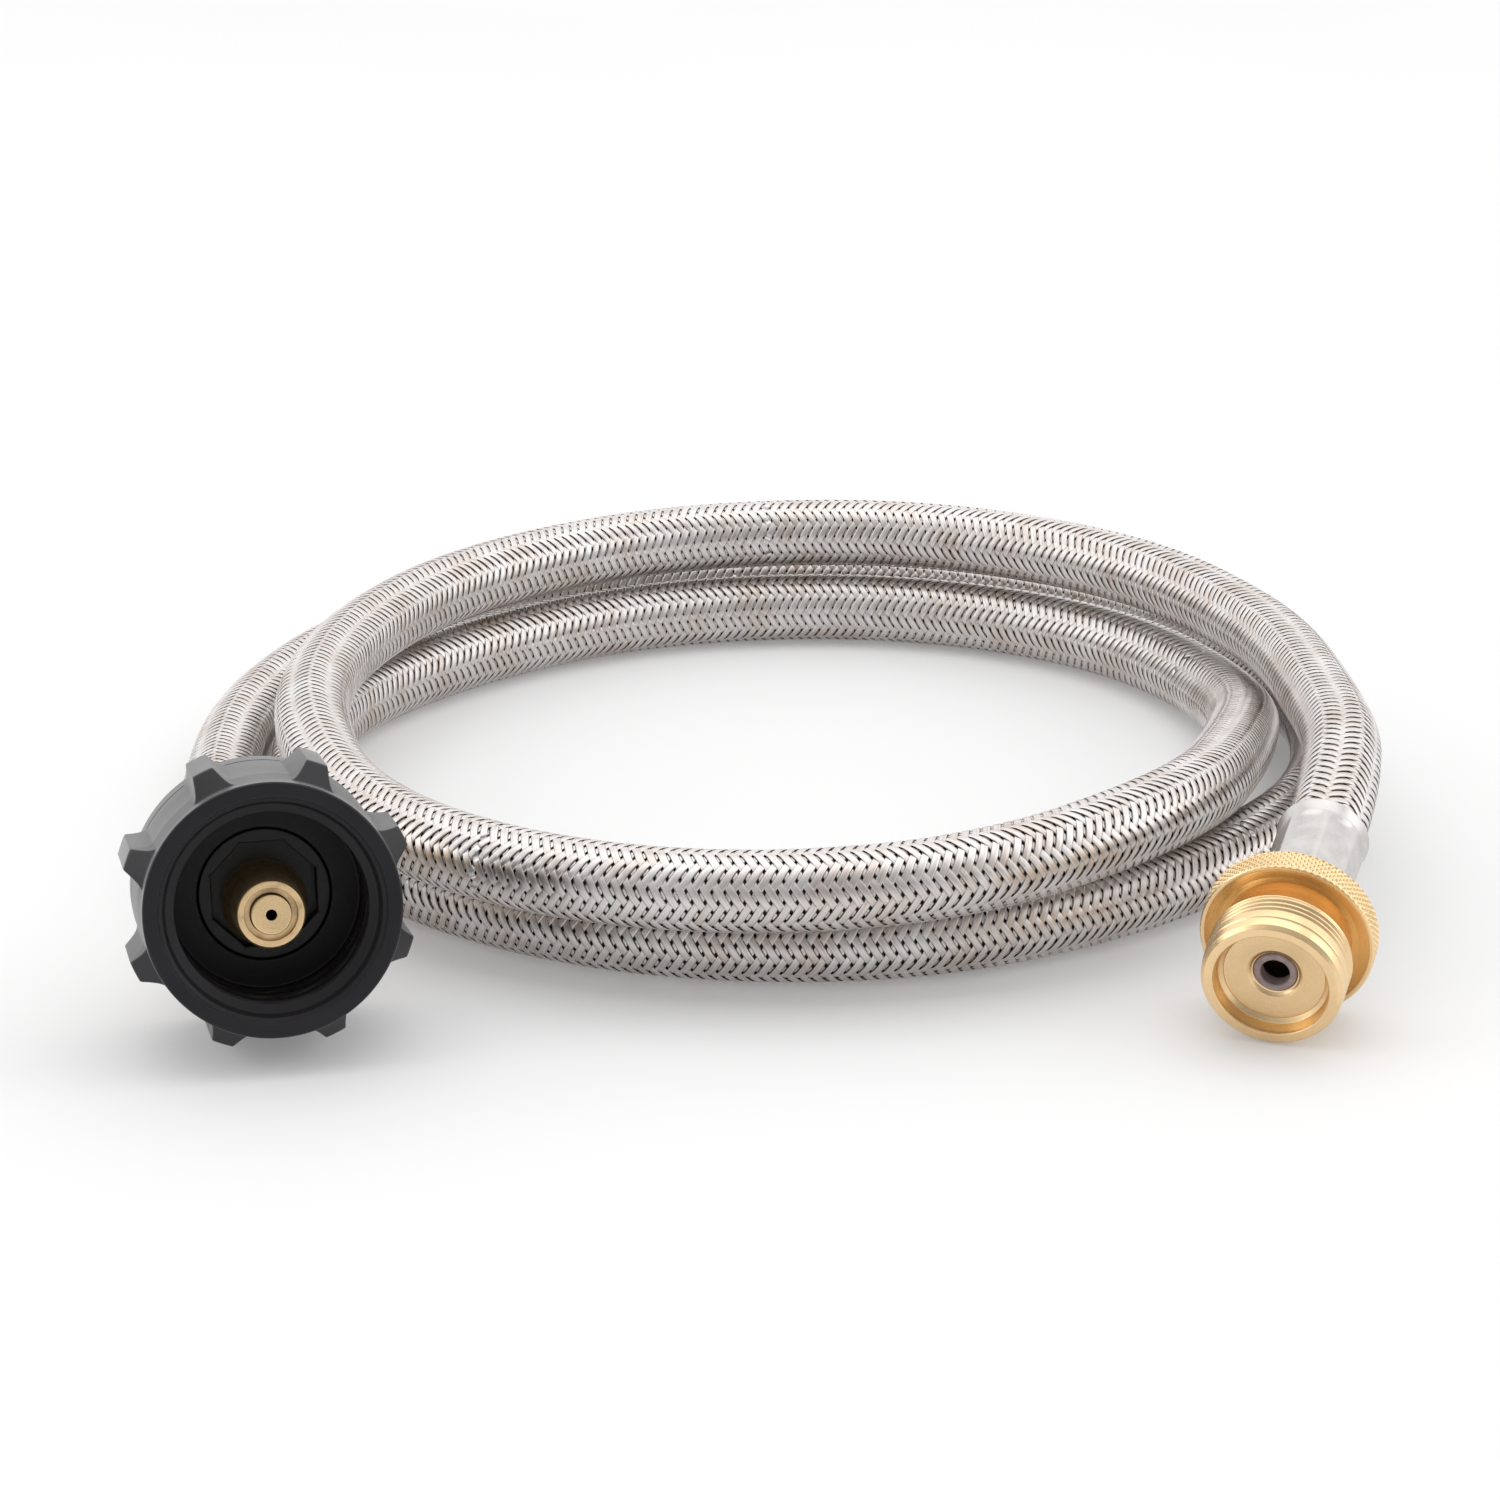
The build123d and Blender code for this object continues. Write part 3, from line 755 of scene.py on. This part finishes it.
threaded = lathe(
    "outlet_thread",
    OUTLET,
    [
        (10.25, 0, 0.25),
        (11.75, 0, 0.2),
        (12.45, 0.75, 0.25),
        (12.66, 2.4, 0.1),
        (12.7, 3.2, 0.1),
        (12.7, 9.4, 0.1),
        (11.2, 10.3, 0.3),
        (11.2, 16.2, 0.1),
        (2.8, 16.2, 0.1),
        (2.8, 6.55, 0.1),
        (9.0, 6.55, 0.1),
        (9.0, 3.3, 0.1),
        (9.8, 2.7, 0.25),
        (10.05, 0.7, 0.3),
    ],
    brass,
    warp=thread_warp,
    fine=((12.3, 13, 2.4, 9.4, 0.127),),
    segments=480,
)
# Painted shade in the outlet's narrow through bore
paint_bore_shade(threaded, OUTLET, bore_dark, 3.0)
stands_for(threaded, "outlet", "brass", "outlet_body")

COLLAR_RADIUS = 15.6
KNURLS = 76
KNURL_DEPTH = 0.5
KNURL_FRONT = 14.25
KNURL_BACK = 19.3
KNURL_TOP = 1.35  # above 1 it leaves a small flat on each diamond


def knurl_warp(radii, angle, depth):
    """Two crossing sets of grooves, which leave diamonds between them."""
    lean = depth / COLLAR_RADIUS
    left = np.abs(((angle + lean) * KNURLS / TAU) % 1.0 - 0.5) * 2
    right = np.abs(((angle - lean) * KNURLS / TAU) % 1.0 - 0.5) * 2
    grooves = KNURL_DEPTH * (1 - np.clip(KNURL_TOP * np.minimum(1 - left, 1 - right), 0, 1))
    ends = between(depth, KNURL_FRONT, KNURL_BACK, rise=0.35, fall=0.35)
    return radii - np.where(radii > 15.3, grooves * ends, 0), depth


collar = lathe(
    "knurled_collar",
    OUTLET,
    [
        (11.1, 15.9, 0.8),
        (12.6, 15.3, 0.5),
        (14.75, 14.0, 0.25),
        (15.25, 14.0, 0.2),
        (COLLAR_RADIUS, 14.3, 0.15),
        (COLLAR_RADIUS, 19.1, 0.15),
        (15.2, 19.5, 0.2),
        (9.5, 19.5, 0.2),
        (9.5, 21.5, 0.3),
        (6.3, 21.5, 0.2),
        (6.3, 16.3, 0.1),
        (11.1, 16.3, 0.1),
    ],
    brass,
    warp=knurl_warp,
    fine=((15.5, 16, 14.3, 19.1, 0.12),),
    segments=KNURLS * 10,
)
stands_for(collar, "outlet", "brass", "outlet_body")

seat = lathe(
    "dished_seat",
    OUTLET,
    [
        (3.95, 4.35, 0.1),
        (4.25, 4.25, 0.1),
        (4.55, 3.95, 0.12),
        (4.9, 3.72, 0.2),
        (9.0, 3.3, 0.1),
        (9.0, 6.5, 0.1),
        (3.95, 6.5, 0.1),
    ],
    brass,
    segments=160,
)
stands_for(seat, "outlet", "brass", "seat_disc")

grommet = lathe(
    "soft_grommet",
    OUTLET,
    [(2.6, 3.95, 0.35), (3.88, 4.0, 0.45), (3.88, 6.5, 0.1), (2.6, 6.5, 0.1)],
    grommet_rubber,
    segments=128,
)
stands_for(grommet, "outlet", "rubber_mauve", "seal_grommet")

# ---- crimped ferrules ----
INLET_CRIMP = (43.5, 64.0)
OUTLET_CRIMP = (26.5, 48.0)
CRIMP_FLATS = 8
CRIMP_FLAT = 7.72


def crimp_warp_from(front, back):
    """The pressed flats between the ferrule's two round ends."""

    def warp(radii, angle, depth):
        flat = polygon_reach(angle, CRIMP_FLATS, CRIMP_FLAT, phase=0.2)
        window = between(depth, front + 2.4, back - 3.0, rise=1.5, fall=1.8)
        window = window * window * (3 - 2 * window)
        pressed = soft_min(radii, flat, width=0.10)
        return np.where(radii > 7.6, radii * (1 - window) + pressed * window, radii), depth

    return warp


for end, (front, back), node, name in (
    (INLET, INLET_CRIMP, "ferrule_inlet", "crimp_sleeve_inlet"),
    (OUTLET, OUTLET_CRIMP, "ferrule_outlet", "crimp_sleeve_outlet"),
):
    sleeve = lathe(
        name,
        end,
        [
            (4.0, front, 0.1),
            (8.0, front, 0.4),
            (8.12, front + 2.2, 0.3),
            (8.12, back - 3.0, 0.5),
            (8.55, back - 0.5, 0.25),
            (8.25, back, 0.15),
            (7.56, back, 0.15),
            (7.5, back - 2.5, 0.1),
            (7.5, front + 1.0, 0.1),
            (4.0, front + 1.0, 0.1),
        ],
        crimp,
        warp=crimp_warp_from(front, back),
        fine=((7.6, 9, front, back, 0.5),),
        segments=256,
    )
    stands_for(sleeve, "root", "crimp_steel", node)

# ---- hose route: the CAD's own stations, as one NURBS spline ----
INLET_LEAD = 23.0
OUTLET_LEAD = 26.0
COIL_CENTRE = (5.0, 110.4)
FIRST_BEARING = -15
STEP = 30
TURN_RADII = (
    (116, 117, 126, 129, 128, 125, 120, 112, 103, 104, 103, 101)
    + (99, 101, 98, 103, 108, 109, 102, 94, 107, 115, 115, 110)
    + (98, 95, 100, 108, 113, 111, 107, 111)
)
TURN_HEIGHTS = (7.6,) * 17 + (8, 9, 18, 25, 22.5, 21, 21.5, 24, 23.5, 23.5, 23.5, 24, 25, 25.5, 28)
stations = []
for index, (turn_radius, height) in enumerate(zip(TURN_RADII, TURN_HEIGHTS)):
    bearing = math.radians(FIRST_BEARING + STEP * index)
    x = COIL_CENTRE[0] - turn_radius * math.cos(bearing)
    y = COIL_CENTRE[1] + turn_radius * math.sin(bearing)
    stations.append(np.array([x, y, height]) * MM)
hose_start = INLET.at(INLET_CRIMP[1])
hose_end = OUTLET.at(OUTLET_CRIMP[1])
first_bend = INLET.at(INLET_CRIMP[1] + INLET_LEAD)
last_bend = OUTLET.at(OUTLET_CRIMP[1] + OUTLET_LEAD)
control = [hose_start, first_bend, *stations, last_bend, hose_end]

curve = bpy.data.curves.new("hose_route", "CURVE")
curve.dimensions = "3D"
curve.resolution_u = 24
spline = curve.splines.new("NURBS")
spline.points.add(len(control) - 1)
for point, place in zip(spline.points, control):
    point.co = (*place, 1)
spline.order_u = 3
spline.use_endpoint_u = True
route = bpy.data.objects.new("hose_route", curve)
bpy.context.scene.collection.objects.link(route)
bpy.context.view_layer.update()
evaluated = route.evaluated_get(bpy.context.evaluated_depsgraph_get())
sampled = bpy.data.meshes.new_from_object(evaluated)
centreline = np.array([vertex.co for vertex in sampled.vertices])
bpy.data.meshes.remove(sampled)
bpy.data.objects.remove(route)


def along(points, count):
    """The line through the points, resampled to count even steps, and its length."""
    steps = np.r_[0, np.cumsum(np.linalg.norm(np.diff(points, axis=0), axis=1))]
    places = np.linspace(0, steps[-1], count)
    return np.stack([np.interp(places, steps, points[:, i]) for i in range(3)], 1), steps[-1]


def carried_frames(points):
    """Tangents and two normals that are carried along the line without twisting."""
    tangents = np.gradient(points, axis=0)
    tangents /= np.linalg.norm(tangents, axis=1)[:, None]
    side = np.cross(tangents[0], (0, 0, 1))
    sides = []
    for tangent in tangents:
        side = side - tangent * (side @ tangent)
        side /= np.linalg.norm(side)
        sides.append(side)
    sides = np.array(sides)
    return tangents, sides, np.cross(tangents, sides)


# ---- dark core under the braid: the braid's ribbons ride on it ----
CORE_RADIUS = 6.95
CORE_SIDES = 28
core_line, hose_length = along(centreline, 760)
tangents, sides, ups = carried_frames(core_line)
angles = np.linspace(0, TAU, CORE_SIDES, endpoint=False)
ring = sides[:, None] * np.cos(angles)[:, None] + ups[:, None] * np.sin(angles)[:, None]
tube = core_line[:, None] + ring * CORE_RADIUS * MM
core_quads = tube_quads(len(core_line), CORE_SIDES)
core = make_mesh("hose_core", tube.reshape(-1, 3), core_quads, core_black)
stands_for(core, "root", "hose_rubber", "hose_liner")

# ---- braid: 24 ribbons of fine wire in a two-over, two-under herringbone ----
CARRIERS = 12
LEAD = 26.0
BRAID_RADIUS = 7.25
WEAVE_RISE = 0.14
RISE_SPREAD = 0.012
WIDTH_SPREAD = 0.025
RIBBON = np.array(
    [(-0.74, 0), (-0.52, 0.07), (0.52, 0.07), (0.74, 0), (0.52, -0.05), (-0.52, -0.05)]
)
RIBBON_U = np.array([0.0, 0.15, 0.85, 1.0, 0.85, 0.15])
SIDES = len(RIBBON)
SAMPLES_PER_CROSSING = 2
RUNS = 7
INSIDE_FERRULE = 3.0

braid_start = core_line[0] - tangents[0] * INSIDE_FERRULE * MM
braid_end = core_line[-1] + tangents[-1] * INSIDE_FERRULE * MM
crossing = LEAD / (2 * CARRIERS) * MM
crossings = int(round((hose_length + 2 * INSIDE_FERRULE * MM) / crossing))
count = crossings * SAMPLES_PER_CROSSING + 1
line, _ = along(np.vstack([braid_start, centreline, braid_end]), count)
tangents, sides, ups = carried_frames(line)
marks = np.arange(count) / SAMPLES_PER_CROSSING
winding = TAU * marks / (2 * CARRIERS)
pitch_angle = math.atan(TAU * BRAID_RADIUS / LEAD)


def lies_over(carrier, way, mark):
    """Whether a ribbon passes over the one that it meets at a crossing, for each mark."""
    over = (2 * carrier + way * mark) % 4 < 2
    return over if way > 0 else ~over


def ribbon(carrier, way):
    """The cross-sections of one ribbon all along the hose."""
    theta = way * winding + TAU * carrier / CARRIERS
    whole = np.floor(marks)
    share = marks - whole
    here = 2.0 * lies_over(carrier, way, whole) - 1
    following = 2.0 * lies_over(carrier, way, whole + 1) - 1
    wave = here * (1 - share) + following * share
    lift = BRAID_RADIUS + WEAVE_RISE * wave + rng.normal(0, RISE_SPREAD)
    size = rng.normal(1, WIDTH_SPREAD)
    out = sides * np.cos(theta)[:, None] + ups * np.sin(theta)[:, None]
    turn = -sides * np.sin(theta)[:, None] + ups * np.cos(theta)[:, None]
    width = turn * math.cos(pitch_angle) - way * tangents * math.sin(pitch_angle)
    middle = line + out * (lift * MM)[:, None]
    return (
        middle[:, None]
        + width[:, None] * (RIBBON[:, 0] * size * MM)[:, None]
        + out[:, None] * (RIBBON[:, 1] * MM)[:, None]
    )


strands = np.array([ribbon(carrier, way) for way in (1, -1) for carrier in range(CARRIERS)])


def braid_run(name, first, last):
    """The stretch of every ribbon between two stations, as one mesh of closed bands.

    "Look" runs across each ribbon and along the hose, and "OFBake" packs the ribbons side by side.
    """
    rows = last - first + 1
    row, side = np.divmod(np.arange((rows - 1) * SIDES), SIDES)
    beside = (side + 1) % SIDES
    across = RIBBON_U[np.stack([side, beside, beside, side], 1)]
    around = np.stack([side, side + 1, side + 1, side], 1) / SIDES
    down = np.stack([row, row, row + 1, row + 1], 1)
    quads = tube_quads(rows, SIDES)
    caps = np.zeros((len(quads) - len(row), 4))
    all_quads, look_uv, bake_uv = [], [], []
    for strand in range(len(strands)):
        place = (np.vstack([around * 0.9, caps]) + 0.05 + strand) / len(strands)
        all_quads.append(quads + strand * rows * SIDES)
        look = (np.vstack([across, caps]) + 2 * strand, np.vstack([down + first, caps]))
        look_uv.append(np.stack(look, -1))
        bake_uv.append(np.stack([np.vstack([down / rows, caps]), place], -1))
    layers = {"OFBake": np.concatenate(bake_uv), "Look": np.concatenate(look_uv)}
    points = strands[:, first : last + 1].reshape(-1, 3)
    piece = make_mesh(name, points, np.vstack(all_quads), braid, layers)
    return stands_for(piece, "root", "braid_steel", "hose_braid")


edges = np.linspace(0, count - 1, RUNS + 1).astype(int)
braid_pieces = [
    braid_run(f"braid_run_{index}", first, last)
    for index, (first, last) in enumerate(zip(edges, edges[1:]), start=1)
]

# ---- floor and studio ----
FLOOR_REACH = 4.0
floor_look = Look("studio_floor", (0.64, 0.64, 0.64), roughness=0.9, Emission_Strength=0.2)
floor_look.set("Emission Color", (1, 1, 1, 1))
mottle = floor_look.noise(floor_look.coords((3, 3, 3)), detail=2)
floor_look.tint(mottle, (0.3, (0.63, 0.63, 0.63)), (0.7, (0.65, 0.65, 0.65)))
floor_corners = np.array([(-1, -1, 0), (1, -1, 0), (1, 1, 0), (-1, 1, 0)]) * FLOOR_REACH
floor = make_mesh("floor", floor_corners, np.array([[0, 1, 2, 3]]), floor_look)


AIM = Vector((0, 0.1, 0))


def softbox(name, place, size, power):
    """A rectangular light that faces the middle of the object."""
    data = bpy.data.lights.new(name, "AREA")
    data.shape = "RECTANGLE"
    data.size, data.size_y = size
    data.energy = power
    light = bpy.data.objects.new(name, data)
    light.location = place
    light.rotation_euler = (AIM - Vector(place)).to_track_quat("-Z", "Y").to_euler()
    bpy.context.scene.collection.objects.link(light)


softbox("top_light", (0.0, 0.3, 1.6), (2.0, 1.6), 6)
softbox("left_light", (-1.3, -0.1, 0.6), (0.9, 0.9), 3)
softbox("right_light", (1.3, 0.0, 0.6), (0.9, 0.9), 3)

# The surroundings are dimmer on the camera's side (-Y), so that the object's front has shape.
world = bpy.data.worlds.new("studio")
bpy.context.scene.world = world
world.use_nodes = True
tree = world.node_tree
background = tree.nodes["Background"]
background.inputs["Color"].default_value = (1, 1, 1, 1)
direction = tree.nodes.new("ShaderNodeTexCoord")
split = tree.nodes.new("ShaderNodeSeparateXYZ")
tree.links.new(direction.outputs["Generated"], split.inputs[0])
shade = tree.nodes.new("ShaderNodeMapRange")
for socket, value in (("From Min", -0.95), ("From Max", 0.15), ("To Min", 0.38), ("To Max", 1.25)):
    shade.inputs[socket].default_value = value
tree.links.new(split.outputs["Y"], shade.inputs["Value"])
tree.links.new(shade.outputs[0], background.inputs["Strength"])

bpy.context.scene.view_settings.view_transform = "Standard"
